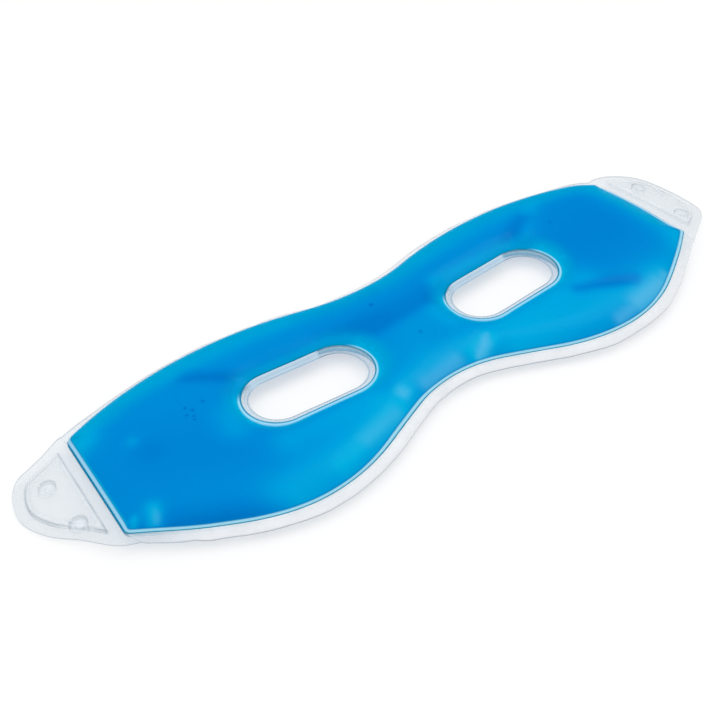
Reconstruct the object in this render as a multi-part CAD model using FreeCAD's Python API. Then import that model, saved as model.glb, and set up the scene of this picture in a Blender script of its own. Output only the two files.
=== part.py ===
import FreeCAD, Part
import math
import os

from FreeCAD import Vector

# Gel eye mask, millimetres. +X runs along the mask, +Y towards the forehead edge, +Z out of the domed front.
# The origin is the middle of the mask on the flat underside of the back film.
# Every outline below is that of the right-hand half; the left-hand half is its mirror image.

# Heights
mask_thickness = 8.5
film_thickness = 0.4
film_to_gel_gap = 0.05
weld_thickness = 0.6
edge_weld_height = 3.6
eye_weld_height = 5.1

# Outline of the weld line, where the gel pouch ends
forehead_valley_y = 24.8
forehead_lobe_x = 50.0
forehead_lobe_y = 32.0
forehead_lobe_radius = 114.5
nose_notch_y = -18.1
nose_notch_radius = 38.0
nose_flank_angle = 23.0
cheek_lobe_x = 53.0
cheek_lobe_y = -32.0
cheek_end_angle = 29.7
end_upper_x = 95.2
end_lower = Vector(98.8, -12.8, 0)
corner_radius = 5.0

# Edge rounding of the filled pouch
top_rounding = 3.0
bottom_rounding = 2.7

# Perimeter flange
edge_flange_width = 3.0

# Eye openings
eye_centre = Vector(35.0, 1.2, 0)
eye_tilt_deg = 4.0
eye_weld_length = 38.8
eye_weld_width = 19.6
eye_hole_length = 34.6
eye_hole_width = 16.0

# End tabs, drawn in the plane of the edge weld and then lowered about the flex line
tab_centre = Vector(97.4, 5.2, 0)
tab_radius = 18.0
tab_upper_root = Vector(95.8, 25.6, 0)
tab_lower_root = Vector(96.8, -17.2, 0)
tab_flange_width = 3.0
tab_droop_deg = 10.5
flex_line_offset = 2.3
pocket_offset = 4.6
pocket_height = 2.0
spot_weld_radius = 2.15
spot_weld_centres = [Vector(105.5, 14.2, 0), Vector(105.5, -1.8, 0)]

# Slits where the mask bends
bridge_slit = 0.2
flex_slit = 0.7

# Cutting blocks reach past everything, and a corner is looked for this near its sharp point
reach = 200.0
corner_search = 2.0


def mirror_left(shape):
    return shape.mirror(Vector(0, 0, 0), Vector(1, 0, 0))


def arc(start, middle, end):
    return Part.Arc(start, middle, end).toShape()


def line(start, end):
    return Part.LineSegment(start, end).toShape()


def on_circle(centre, radius, degrees):
    angle = math.radians(degrees)
    return centre + Vector(radius * math.cos(angle), radius * math.sin(angle), 0)


def arc_about(centre, radius, from_deg, to_deg):
    middle_deg = (from_deg + to_deg) / 2
    return arc(
        on_circle(centre, radius, from_deg),
        on_circle(centre, radius, middle_deg),
        on_circle(centre, radius, to_deg),
    )


def forehead_edges():
    """Valley over the nose, then one long arc over the brow to the end seam."""
    rise = forehead_lobe_y - forehead_valley_y
    radius_sum = (forehead_lobe_x ** 2 + rise ** 2) / (2 * rise)
    valley_radius = radius_sum - forehead_lobe_radius
    valley_centre = Vector(0, forehead_valley_y + valley_radius, 0)
    lobe_centre = Vector(forehead_lobe_x, forehead_lobe_y - forehead_lobe_radius, 0)
    turn = math.degrees(math.asin(forehead_lobe_x / radius_sum))
    end_deg = math.degrees(math.acos((end_upper_x - forehead_lobe_x) / forehead_lobe_radius))
    valley = arc_about(valley_centre, valley_radius, -90, -90 + turn)
    lobe = arc_about(lobe_centre, forehead_lobe_radius, 90 + turn, end_deg)
    return [valley, lobe], on_circle(lobe_centre, forehead_lobe_radius, end_deg)


def cheek_edges():
    """Nose notch, straight flank, cheek lobe in two arcs, straight run to the end seam."""
    notch_centre = Vector(0, nose_notch_y - nose_notch_radius, 0)
    flank_start = on_circle(notch_centre, nose_notch_radius, 90 - nose_flank_angle)
    slope = math.tan(math.radians(nose_flank_angle))
    sine = math.sin(math.radians(nose_flank_angle))
    fall = 1 - math.cos(math.radians(nose_flank_angle))
    across = cheek_lobe_x - flank_start.x
    down = flank_start.y - cheek_lobe_y
    inner_radius = (slope * across - down) / (slope * sine - fall)
    inner_centre = Vector(cheek_lobe_x, cheek_lobe_y + inner_radius, 0)
    flank_end = on_circle(inner_centre, inner_radius, 270 - nose_flank_angle)

    end_slope = math.tan(math.radians(cheek_end_angle))
    end_sine = math.sin(math.radians(cheek_end_angle))
    end_fall = 1 - math.cos(math.radians(cheek_end_angle))
    rise = end_lower.y - cheek_lobe_y
    outer_radius = (end_slope * (end_lower.x - cheek_lobe_x) - rise) / (end_slope * end_sine - end_fall)
    outer_centre = Vector(cheek_lobe_x, cheek_lobe_y + outer_radius, 0)
    run_start = on_circle(outer_centre, outer_radius, 270 + cheek_end_angle)
    return [
        arc_about(notch_centre, nose_notch_radius, 90, 90 - nose_flank_angle),
        line(flank_start, flank_end),
        arc_about(inner_centre, inner_radius, 270 - nose_flank_angle, 270),
        arc_about(outer_centre, outer_radius, 270, 270 + cheek_end_angle),
        line(run_start, end_lower),
    ]


def weld_line():
    """Closed outline of the pouch, with sharp end corners."""
    forehead, end_upper = forehead_edges()
    half = forehead + [line(end_upper, end_lower)] + cheek_edges()
    whole = half + [mirror_left(edge) for edge in half]
    return Part.Wire(Part.sortEdges(whole)[0]), end_upper


def stadium(length, width, inset=0.0):
    """Closed outline of a right-hand eye opening, pulled in by the inset."""
    radius = width / 2 - inset
    half_straight = (length - width) / 2
    wire = Part.Wire([
        line(Vector(-half_straight, -radius, 0), Vector(half_straight, -radius, 0)),
        arc_about(Vector(half_straight, 0, 0), radius, -90, 90),
        line(Vector(half_straight, radius, 0), Vector(-half_straight, radius, 0)),
        arc_about(Vector(-half_straight, 0, 0), radius, 90, 270),
    ])
    wire.Placement = FreeCAD.Placement(eye_centre, FreeCAD.Rotation(Vector(0, 0, 1), eye_tilt_deg))
    return wire


def slab(wire, bottom, top):
    face = Part.Face(wire)
    face.translate(Vector(0, 0, bottom))
    return face.extrude(Vector(0, 0, top - bottom))


def level_edges(solid, height):
    """The edges that lie flat at a height."""
    near = 1e-4
    return [
        edge for edge in solid.Edges
        if abs(edge.BoundBox.ZMin - height) < near and abs(edge.BoundBox.ZMax - height) < near
    ]


def end_corner_edges(block, end_upper):
    """The upright edges at the four sharp corners of the end seams."""
    chosen = []
    for edge in block.Edges:
        box = edge.BoundBox
        middle = Vector(abs(box.Center.x), box.Center.y, 0)
        nearest = min(middle.distanceToPoint(end_upper), middle.distanceToPoint(end_lower))
        if box.ZLength > 1 and nearest < corner_search:
            chosen.append(edge)
    return chosen


def pouch(outline, end_upper, inset):
    """The filled pouch, rounded along every rim, with both eye openings through it."""
    wire = outline.makeOffset2D(-inset, 2) if inset else outline
    block = slab(wire, inset, mask_thickness - inset)
    block = block.makeFillet(corner_radius - inset, end_corner_edges(block, end_upper))
    opening = slab(stadium(eye_weld_length, eye_weld_width, -inset), -1, mask_thickness + 1)
    block = block.cut(opening).cut(mirror_left(opening))
    block = block.makeFillet(top_rounding - inset, level_edges(block, mask_thickness - inset))
    return block.makeFillet(bottom_rounding - inset, level_edges(block, inset))


def box_between(low, high):
    size = high - low
    return Part.makeBox(size.x, size.y, size.z, low)


def below_welds():
    """Everything lower than the two weld heights: the edge weld, and the higher weld round each eye."""
    low = box_between(Vector(-reach, -reach, -reach), Vector(reach, reach, edge_weld_height))
    column = slab(stadium(eye_weld_length, eye_weld_width, -1.0), -1, eye_weld_height)
    return low.fuse([column, mirror_left(column)])


def plate(wire, height):
    return slab(wire, height - weld_thickness / 2, height + weld_thickness / 2)


def flex_frame(end_upper):
    """A point on the line that the right tab bends about, and that line's direction."""
    along = (end_upper - end_lower).normalize()
    outward = Vector(along.y, -along.x, 0)
    point = (end_upper + end_lower) / 2 + outward * flex_line_offset
    return point, along, outward


def beyond_line(point, along, outward, distance):
    """A block that covers everything further out than the given distance past the flex line."""
    start = point + outward * distance
    corners = [
        start - along * reach,
        start - along * reach + outward * reach,
        start + along * reach + outward * reach,
        start + along * reach,
        start - along * reach,
    ]
    return slab(Part.makePolygon(corners), -reach, reach)


def tangent_angle(outside_point, side):
    """Where the line from a point outside touches the tab's round end, in degrees."""
    away = outside_point - tab_centre
    spread = math.degrees(math.acos(tab_radius / away.Length))
    return math.degrees(math.atan2(away.y, away.x)) + side * spread


def tab_wire():
    """A round end, with a straight line from each side of it back to the flange's corners."""
    lower_deg = tangent_angle(tab_lower_root, 1)
    upper_deg = tangent_angle(tab_upper_root, -1)
    return Part.Wire([
        line(tab_lower_root, on_circle(tab_centre, tab_radius, lower_deg)),
        arc_about(tab_centre, tab_radius, lower_deg, upper_deg),
        line(on_circle(tab_centre, tab_radius, upper_deg), tab_upper_root),
        line(tab_upper_root, tab_lower_root),
    ])


def lower_tab(shape, point, along):
    """Turn a tab down about the flex line, as it lies with its tip on the table."""
    pivot = Vector(point.x, point.y, edge_weld_height)
    return shape.rotated(pivot, along, tab_droop_deg)


def tab_parts(point, along, outward):
    """Right tab: welded frame, puffed pocket films, and the spot welds inside the pocket."""
    whole = plate(tab_wire(), edge_weld_height).common(beyond_line(point, along, outward, flex_slit / 2))
    pocket_wire = tab_wire().makeOffset2D(-tab_flange_width)
    pocket_side = beyond_line(point, along, outward, pocket_offset - flex_line_offset)
    half_height = pocket_height / 2
    pocket = slab(pocket_wire, edge_weld_height - half_height, edge_weld_height + half_height)
    pocket = pocket.common(pocket_side)
    inner_wire = tab_wire().makeOffset2D(-tab_flange_width - film_thickness)
    inner_side = beyond_line(point, along, outward, pocket_offset - flex_line_offset + film_thickness)
    inner_half = half_height - film_thickness
    inner = slab(inner_wire, edge_weld_height - inner_half, edge_weld_height + inner_half).common(inner_side)
    spots = [
        Part.makeCylinder(spot_weld_radius, pocket_height, centre + Vector(0, 0, edge_weld_height - half_height))
        for centre in spot_weld_centres
    ]
    frame = whole.cut(pocket)
    skin = pocket.cut(inner).cut(spots)
    upper = box_between(Vector(-reach, -reach, edge_weld_height), Vector(reach, reach, reach))
    spot_group = Part.makeCompound(spots)
    shapes = {
        "tab_weld": frame,
        "tab_front_film": skin.common(upper),
        "tab_back_film": skin.cut(upper),
        "tab_spot_welds": spot_group,
    }
    return {name: lower_tab(shape, point, along) for name, shape in shapes.items()}


def lobe_parts(outline, end_upper, point, along, outward):
    """Right lobe: front film, back film, gel, edge weld and the weld ring round the eye."""
    film = pouch(outline, end_upper, 0.0).cut(pouch(outline, end_upper, film_thickness))
    gel = pouch(outline, end_upper, film_thickness + film_to_gel_gap)
    lower = below_welds()
    flange_wire = outline.makeOffset2D(edge_flange_width, 0)
    flange = plate(flange_wire, edge_weld_height).fuse(plate(tab_wire(), edge_weld_height))
    flange = flange.cut(beyond_line(point, along, outward, -flex_slit / 2))
    hole = slab(stadium(eye_hole_length, eye_hole_width), -1, mask_thickness + 1)
    eye_weld = plate(stadium(eye_weld_length, eye_weld_width), eye_weld_height).cut(hole)
    right_half = box_between(Vector(bridge_slit / 2, -reach, -reach), Vector(reach, reach, reach))
    pouch_column = pouch(outline, end_upper, 0.0)
    eye_column = slab(stadium(eye_weld_length, eye_weld_width), -1, mask_thickness + 1)
    shapes = {
        "front_film": film.cut(lower),
        "back_film": film.common(lower),
        "gel": gel,
        "edge_weld": flange.cut(pouch_column).cut(eye_column),
        "eye_weld": eye_weld,
    }
    return {name: shape.common(right_half) for name, shape in shapes.items()}


def clean(shape):
    """One solid, or a compound of the solids when a node has several."""
    solids = shape.removeSplitter().Solids
    return solids[0] if len(solids) == 1 else Part.makeCompound(solids)


def main():
    os.makedirs("parts", exist_ok=True)
    outline, end_upper = weld_line()
    point, along, outward = flex_frame(end_upper)
    right = lobe_parts(outline, end_upper, point, along, outward)
    right.update(tab_parts(point, along, outward))
    for name, shape in right.items():
        solid = clean(shape)
        solid.exportStep("parts/right_" + name + ".step")
        mirror_left(solid).exportStep("parts/left_" + name + ".step")


main()
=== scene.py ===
import math

import bpy
import numpy as np
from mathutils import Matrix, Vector, geometry, noise


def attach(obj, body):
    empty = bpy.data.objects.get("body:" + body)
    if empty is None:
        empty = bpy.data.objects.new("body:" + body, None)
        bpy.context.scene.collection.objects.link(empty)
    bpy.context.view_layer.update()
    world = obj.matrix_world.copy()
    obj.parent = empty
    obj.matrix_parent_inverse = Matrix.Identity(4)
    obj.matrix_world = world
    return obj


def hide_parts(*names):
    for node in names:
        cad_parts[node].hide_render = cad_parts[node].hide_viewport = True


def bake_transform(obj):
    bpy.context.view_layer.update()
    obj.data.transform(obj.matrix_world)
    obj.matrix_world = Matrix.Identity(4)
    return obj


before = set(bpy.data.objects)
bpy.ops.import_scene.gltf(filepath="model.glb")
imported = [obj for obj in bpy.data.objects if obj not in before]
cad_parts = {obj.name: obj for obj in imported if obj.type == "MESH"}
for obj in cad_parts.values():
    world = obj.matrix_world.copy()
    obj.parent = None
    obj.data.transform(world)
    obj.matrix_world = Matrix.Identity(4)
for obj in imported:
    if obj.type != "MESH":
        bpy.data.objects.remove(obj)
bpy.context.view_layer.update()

# Lengths in this script are millimetres, and meshes are made in metres.
MM = 0.001

# Outline of the weld, for the right-hand half
FOREHEAD_VALLEY_Y = 24.8
FOREHEAD_LOBE = np.array([50.0, 32.0])
FOREHEAD_LOBE_RADIUS = 114.5
NOSE_NOTCH_Y = -18.1
NOSE_NOTCH_RADIUS = 38.0
NOSE_FLANK_DEG = 23.0
CHEEK_LOBE = np.array([53.0, -32.0])
CHEEK_END_DEG = 29.7
END_UPPER_X = 95.2
END_LOWER = np.array([98.8, -12.8])
OUTLINE_STEP = 0.8

# Where the real outline swells or draws in: place, width and how far out it moves
NUDGES = [
    ((-6, 25), 22, 0.9), ((-84, -22), 11, 0.8), ((80, -23), 10, 0.3), ((95, 23.5), 5, -1.6),
    ((98.5, -9), 8, -1.1), ((-52, -33), 22, 0.7), ((0, -20), 20, 0.4), ((45, -32), 22, 0.45),
]

# Eye openings: centre of the right one, a shift of both to the right, their outward tilt, and the
# length and width of the weld's outer edge and of the hole
EYE_CENTRE = np.array([34.75, 2.0])
EYE_SHIFT = 0.7
EYE_TILT_DEG = 4.0
EYE_WELD = (38.4, 19.0)
EYE_HOLE = (34.6, 15.7)

# Heights: middle of the edge weld and of the eye weld, cut edge of the eye holes, crown and back of
# the pouch
EDGE_WELD_Z = 3.6
EYE_WELD_Z = 5.1
EYE_CUT_Z = 4.1
CROWN_Z = 8.2
BACK_Z = 0.15

# Thickness of each film as it is drawn, and half that of the fused ring
FRONT_FILM = 0.125
BACK_FILM = 0.12
RING_HALF = 0.2

# Crown: how much lower it is where the pouch is narrow, how far in from the welds that ends, and
# its soft waves as height, size and seed
CROWN_DROP = 1.1
CROWN_BREADTH = 14.0
CROWN_WAVES = [(0.22, 26.0, 3.1), (0.08, 11.0, 7.4)]

# Edge profile of the pouch: how far in from a weld a film still rises, and how steeply it starts.
# Top is for the long edges, and end for the seams beside the tabs.
TOP_REACH = 8.5
END_REACH = 12.0
NEAR_POWER = 1.75
FAR_POWER = 2.5
EYE_POWER = 1.45
EYE_REACH = 6.5
BACK_REACH = 6.5
BACK_POWER = 2.2

# Gel: gap to the welds, gap to each film, share of the space between them, and depth of a bubble
GEL_INSET = 0.08
GEL_GAP = 0.02
GEL_FILL = 0.94
BUBBLE_DEPTH = 0.15

# Spacing of the mesh in the pouch, the flange, the eye rings and the tabs
POUCH_SPACING = 1.3
FLANGE_SPACING = 0.9
RING_SPACING = 0.6
TAB_SPACING = 0.8

# Flange: width, least width, thickness, droop along the near and the far edge, and how far from a
# tab's root the droop begins
FLANGE_WIDTH = 3.0
LEAST_FLANGE = 0.9
FLANGE_THICKNESS = 0.45
NEAR_DROOP = 0.9
FAR_DROOP = 1.2
ROOT_REACH = 10

# Tabs, as if on the right-hand side; -1 is the left tab and 1 the right one
UPPER_ROOT = {-1: np.array([95.8, 25.6]), 1: np.array([95.4, 25.0])}
LOWER_ROOT = {-1: np.array([96.8, -17.2]), 1: np.array([96.8, -17.2])}
TAB_DROOP_DEG = 10.5
FLEX_OFFSET = 2.3
POCKET_OFFSET = 3.0
POCKET_INSET = 3.0
POCKET_RISE = 0.9
POCKET_SAG = 0.4
PUFF_REACH = 2.6
PUFF_POWER = 2.4
LEAST_Z = 0.05
SPOT_RADIUS = 2.15
SPOTS = {
    -1: np.array([[106.0, 12.8], [105.6, -2.4]]),
    1: np.array([[105.8, 13.8], [105.5, -4.4]]),
}

# Walls nearer than this to the pouch's outline, or to the line between a tab and the flange, are
# inside the film and not drawn
AT_SEAM = 0.05
AT_ROOT_LINE = 0.1

# Studio, in metres: floor, softboxes as name, place, size, watts and whether they show in gloss,
# and the strength of the world's light
FLOOR_REACH = 3.0
FLOOR_TONE = (0.38, 0.38, 0.38)
FLOOR_GLOW = 0.56
SOFTBOXES = [
    ("top_softbox", (0.0, 0.1, 1.2), (1.6, 1.4), 9.5, False),
    ("right_softbox", (0.684, 0.17, 0.97), (0.5, 0.5), 0.35, True),
]
WORLD_LIGHT = 0.75

# Camera
CAMERA_PLACE = (-180.1, -206.5, 237.2)
CAMERA_DOWN_DEG = 41.37
CAMERA_HEADING_DEG = 38.02
CAMERA_LENS = 65.1
SENSOR = 36.0


# ---- outlines

def on_circle(centre, radius, degrees):
    angle = np.radians(degrees)
    return np.asarray(centre) + radius * np.stack([np.cos(angle), np.sin(angle)], axis=-1)


def arc(centre, radius, start_deg, end_deg):
    length = abs(math.radians(end_deg - start_deg)) * radius
    count = max(2, math.ceil(length / OUTLINE_STEP) + 1)
    return on_circle(centre, radius, np.linspace(start_deg, end_deg, count))


def run(start, end):
    count = max(2, math.ceil(np.linalg.norm(end - start) / OUTLINE_STEP) + 1)
    return start + (end - start) * np.linspace(0, 1, count)[:, None]


def forehead_half():
    """Valley over the nose, then one long arc over the brow to the end seam."""
    rise = FOREHEAD_LOBE[1] - FOREHEAD_VALLEY_Y
    radius_sum = (FOREHEAD_LOBE[0] ** 2 + rise ** 2) / (2 * rise)
    valley_radius = radius_sum - FOREHEAD_LOBE_RADIUS
    turn = math.degrees(math.asin(FOREHEAD_LOBE[0] / radius_sum))
    end_deg = math.degrees(math.acos((END_UPPER_X - FOREHEAD_LOBE[0]) / FOREHEAD_LOBE_RADIUS))
    lobe_centre = FOREHEAD_LOBE - np.array([0, FOREHEAD_LOBE_RADIUS])
    return [
        arc((0, FOREHEAD_VALLEY_Y + valley_radius), valley_radius, -90, -90 + turn),
        arc(lobe_centre, FOREHEAD_LOBE_RADIUS, 90 + turn, end_deg),
    ]


def tangent_radius(slope_deg, across, along):
    """Radius of an arc that starts level and turns to a slope, so that the straight line on from
    its end passes through a point this far across and along from its start."""
    angle = math.radians(slope_deg)
    slope = math.tan(angle)
    return (slope * across - along) / (slope * math.sin(angle) - 1 + math.cos(angle))


def cheek_half():
    """Nose notch, straight flank, cheek lobe in two arcs, straight run to the end seam."""
    notch_centre = np.array([0, NOSE_NOTCH_Y - NOSE_NOTCH_RADIUS])
    flank_start = on_circle(notch_centre, NOSE_NOTCH_RADIUS, 90 - NOSE_FLANK_DEG)
    to_flank = (flank_start - CHEEK_LOBE) * [-1, 1]
    to_end = END_LOWER - CHEEK_LOBE
    inner = tangent_radius(NOSE_FLANK_DEG, *to_flank)
    outer = tangent_radius(CHEEK_END_DEG, *to_end)
    inner_centre = CHEEK_LOBE + np.array([0, inner])
    outer_centre = CHEEK_LOBE + np.array([0, outer])
    flank_end = on_circle(inner_centre, inner, 270 - NOSE_FLANK_DEG)
    run_start = on_circle(outer_centre, outer, 270 + CHEEK_END_DEG)
    return [
        arc(notch_centre, NOSE_NOTCH_RADIUS, 90, 90 - NOSE_FLANK_DEG),
        run(flank_start, flank_end),
        arc(inner_centre, inner, 270 - NOSE_FLANK_DEG, 270),
        arc(outer_centre, outer, 270, 270 + CHEEK_END_DEG),
        run(run_start, END_LOWER),
    ]


def joined(runs):
    """One list of points from runs that meet end to end, with each meeting point once."""
    points = [runs[0]]
    for piece in runs[1:]:
        points.append(piece[1:])
    return np.concatenate(points)


def mirrored(points):
    return points[::-1] * np.array([-1.0, 1.0])


def weld_outline():
    """Closed outline of the pouch, anticlockwise, with the four end corners softened."""
    top = joined(forehead_half())
    bottom = joined(cheek_half())
    end = run(top[-1], bottom[-1])
    right = joined([top, end, bottom[::-1]])
    whole = np.concatenate([right[:-1], mirrored(right)[:-1]])[::-1]
    for _ in range(2):
        whole = (np.roll(whole, 1, axis=0) + 2 * whole + np.roll(whole, -1, axis=0)) / 4
    shift = np.zeros(len(whole))
    for place, width, amount in NUDGES:
        shift += amount * hill(gap_to(place, whole), width)
    return whole + shift[:, None] * outward(whole)


def stadium(size, side):
    """Closed outline of an eye opening, anticlockwise. Side is 1 on the right, -1 on the left."""
    length, width = size
    radius = width / 2
    half = (length - width) / 2
    loop = joined([
        run(np.array([-half, -radius]), np.array([half, -radius])),
        arc((half, 0), radius, -90, 90),
        run(np.array([half, radius]), np.array([-half, radius])),
        arc((-half, 0), radius, 90, 270),
    ])[:-1]
    tilt = math.radians(EYE_TILT_DEG)
    turn = np.array([[math.cos(tilt), math.sin(tilt)], [-math.sin(tilt), math.cos(tilt)]])
    loop = loop @ turn + EYE_CENTRE
    return (loop if side > 0 else mirrored(loop)) + [EYE_SHIFT, 0]


def outward(loop):
    """Unit normals that point out of an anticlockwise loop."""
    along = np.roll(loop, -1, axis=0) - np.roll(loop, 1, axis=0)
    along /= np.linalg.norm(along, axis=1)[:, None]
    return np.stack([along[:, 1], -along[:, 0]], axis=1)


# ---- plane geometry

# Points handled at a time where each is compared with a whole outline
BATCH = 2000


def gap_to(place, points):
    """Distance from each point to one place."""
    return np.linalg.norm(points - place, axis=1)


def distance_to(loop, points, closed=True):
    """Shortest distance from each point to a line of points."""
    starts = loop if closed else loop[:-1]
    ends = np.roll(loop, -1, axis=0) if closed else loop[1:]
    edge = ends - starts
    squared = np.maximum((edge ** 2).sum(axis=1), 1e-12)
    nearest = np.empty(len(points))
    for first in range(0, len(points), BATCH):
        away = points[first:first + BATCH, None, :] - starts[None]
        share = np.clip((away * edge).sum(axis=2) / squared, 0, 1)
        gap = away - share[..., None] * edge
        nearest[first:first + BATCH] = np.sqrt((gap ** 2).sum(axis=2).min(axis=1))
    return nearest


def nearest_direction(loop, points, axis=1):
    """One part, x or y, of the outward normal at the nearest corner of a loop."""
    normals = outward(loop)
    result = np.empty(len(points))
    for first in range(0, len(points), BATCH):
        away = np.linalg.norm(points[first:first + BATCH, None] - loop[None], axis=2)
        result[first:first + BATCH] = normals[away.argmin(axis=1), axis]
    return result


def inside(loop, points):
    """True for each point within a closed loop."""
    ends = np.roll(loop, -1, axis=0)
    found = np.zeros(len(points), bool)
    for (x1, y1), (x2, y2) in zip(loop, ends):
        if y1 == y2:
            continue
        spans = (points[:, 1] < y1) != (points[:, 1] < y2)
        crossing = x1 + (points[:, 1] - y1) * (x2 - x1) / (y2 - y1)
        found ^= spans & (points[:, 0] < crossing)
    return found


class Region:
    """A flat triangulated area inside an outer loop and outside its holes.

    Rows are the distances of rows of points beside its edges, spacing is that of the points between
    them, and extra points make the mesh finer in places."""

    def __init__(self, outer, holes, rows, spacing, extra=()):
        self.loops = [outer] + list(holes)
        points = [np.concatenate(self.loops)]
        for number, loop in enumerate(self.loops):
            side = -1 if number == 0 else 1
            for row in rows:
                points.append(self.kept(loop + side * row * outward(loop), row * 0.97))
        fill = self.kept(self.grid(outer, spacing), (rows[-1] if rows else 0) + spacing * 0.6)
        if len(extra):
            extra = self.kept(np.asarray(extra), 0.15)
            gaps = np.linalg.norm(fill[:, None] - extra[None], axis=2).min(axis=1)
            fill = fill[gaps > spacing * 0.5]
            points.append(extra)
        points.append(fill)
        points = np.concatenate(points)
        edges = []
        first = 0
        for loop in self.loops:
            count = len(loop)
            edges += [(first + k, first + (k + 1) % count) for k in range(count)]
            first += count
        found = geometry.delaunay_2d_cdt([Vector(p) for p in points], edges, [], 0, 1e-5)
        self.points = np.array([tuple(v) for v in found[0]])
        faces = np.array([f for f in found[2] if len(f) == 3])
        middles = self.points[faces].mean(axis=1)
        wanted = inside(outer, middles)
        for hole in holes:
            wanted &= ~inside(hole, middles)
        self.faces = faces[wanted]
        self.rims = self.rim_loops()

    def kept(self, points, least):
        """The points that are inside the region and no nearer than this to any edge."""
        wanted = inside(self.loops[0], points)
        for hole in self.loops[1:]:
            wanted &= ~inside(hole, points)
        points = points[wanted]
        for loop in self.loops:
            points = points[distance_to(loop, points) >= least]
        return points

    @staticmethod
    def grid(outer, spacing):
        """Points in a triangular grid over the loop's box."""
        low, high = outer.min(axis=0), outer.max(axis=0)
        columns = np.arange(low[0], high[0], spacing)
        lines = np.arange(low[1], high[1], spacing * math.sqrt(3) / 2)
        shift = (np.arange(len(lines)) % 2) * spacing / 2
        x = columns[None] + shift[:, None]
        y = np.repeat(lines[:, None], len(columns), axis=1)
        return np.stack([x.ravel(), y.ravel()], axis=1)

    def sides(self):
        """The three edges of every triangle, each as (from, to)."""
        return np.concatenate([self.faces[:, pair] for pair in ([0, 1], [1, 2], [2, 0])])

    def rim_loops(self):
        """The open edges of the triangles, each as (from, to) with the area on its left."""
        edges = self.sides().tolist()
        keys = set(map(tuple, edges))
        return np.array([e for e in edges if (e[1], e[0]) not in keys])

    def smooth(self, values, times):
        """Values at the points, evened out with their neighbours."""
        start, end = self.sides().T
        size = len(values)
        count = np.bincount(start, minlength=size) + np.bincount(end, minlength=size)
        for _ in range(times):
            total = np.bincount(start, values[end], minlength=size)
            total += np.bincount(end, values[start], minlength=size)
            values = (values + total / np.maximum(count, 1)) / 2
        return values


# ---- meshes

def make_object(name, points, faces, material, attributes):
    """A smooth mesh object from points in millimetres, with a float attribute for each label."""
    mesh = bpy.data.meshes.new(name)
    mesh.from_pydata((np.asarray(points) * MM).tolist(), [], [list(map(int, f)) for f in faces])
    for label, values in attributes.items():
        layer = mesh.attributes.new(label, "FLOAT", "POINT")
        layer.data.foreach_set("value", np.asarray(values, np.float32))
    mesh.materials.append(material)
    mesh.shade_smooth()
    mesh.set_sharp_from_angle(angle=math.radians(60))
    mesh.validate()
    piece = bpy.data.objects.new(name, mesh)
    bpy.context.collection.objects.link(piece)
    return piece


def closed_between(name, region, top, bottom, material, attributes):
    """A closed body between two heights that meet along the region's rims.

    Each attribute is a pair, for the upper and the lower face."""
    count = len(region.points)
    rim = np.unique(region.rims)
    lower = np.arange(count) + count
    lower[rim] = rim
    used = np.setdiff1d(np.arange(count), rim)
    lower[used] = count + np.arange(len(used))
    points = np.concatenate([
        np.column_stack([region.points, top]),
        np.column_stack([region.points[used], bottom[used]]),
    ])
    faces = np.concatenate([region.faces, lower[region.faces][:, ::-1]])
    spread = {label: np.concatenate([upper, under[used]])
              for label, (upper, under) in attributes.items()}
    return make_object(name, points, faces, material, spread)


def slab(name, region, top, bottom, material, attributes, covered, seen=(1, 1)):
    """A closed sheet with its own upright walls, whose cut attribute is 1.

    Covered is True for each wall that meets another piece of the same film. The outer attribute is
    0 there, and on the upper or lower face where seen is 0, so that inner faces don't show."""
    count = len(region.points)
    rims = region.rims
    wall_points = []
    wall_faces = []
    wall_source = []
    for number, (start, end) in enumerate(rims):
        base = 2 * count + 4 * number
        for index in (start, end):
            for height in (top, bottom):
                wall_points.append([*region.points[index], height[index]])
                wall_source.append(index)
        wall_faces.append([base, base + 1, base + 3, base + 2])
    points = np.concatenate([
        np.column_stack([region.points, top]),
        np.column_stack([region.points, bottom]),
        np.array(wall_points),
    ])
    faces = [list(f) for f in region.faces]
    faces += [[a + count for a in f[::-1]] for f in region.faces] + wall_faces
    spread = {label: np.concatenate([values, values, values[wall_source]])
              for label, values in attributes.items()}
    shown = np.repeat(np.where(covered, 0.0, 1.0), 4)
    spread["cut"] = np.concatenate([np.zeros(2 * count), shown])
    spread["outer"] = np.concatenate([np.full(count, seen[0]), np.full(count, seen[1]), shown])
    return make_object(name, points, faces, material, spread)


def walls_at(region, seam, lines=()):
    """True for each wall of a region that lies on the seam or on one of the straight lines."""
    middles = region.points[region.rims].mean(axis=1)
    found = distance_to(seam, middles) < AT_SEAM
    for line in lines:
        found |= distance_to(np.stack(line), middles, closed=False) < AT_ROOT_LINE
    return found


def waves(points, height, size, seed):
    """Smooth noise up to the height, with features about as large as size."""
    return height * np.array([noise.noise(Vector((x / size, y / size, seed))) for x, y in points])


def hill(distance, width):
    """1 where a distance is 0, falling off to 0 over about the width."""
    return np.exp(-(distance / width) ** 2)


def line_at(distance, place, width, strength):
    """A soft line at one distance from an edge."""
    return strength * hill(distance - place, width)


def bump(points, start, end, width):
    """1 on the line from start to end, falling off to 0 over about the width."""
    return hill(distance_to(np.array([start, end]), points, closed=False), width)


def eased(values):
    """Smooth step from 0 to 1."""
    values = np.clip(values, 0, 1)
    return values * values * (3 - 2 * values)


def profile(distance, reach, power):
    """Rise from 0 at a weld to 1 at the reach, steep at first and level at the end."""
    share = np.clip(distance / reach, 0, 1)
    return (1 - (1 - share) ** power) ** (1 / power)


# ---- materials

def tree_of(name):
    material = bpy.data.materials.new(name)
    material.use_nodes = True
    tree = material.node_tree
    tree.nodes.clear()
    return material, tree


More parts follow.
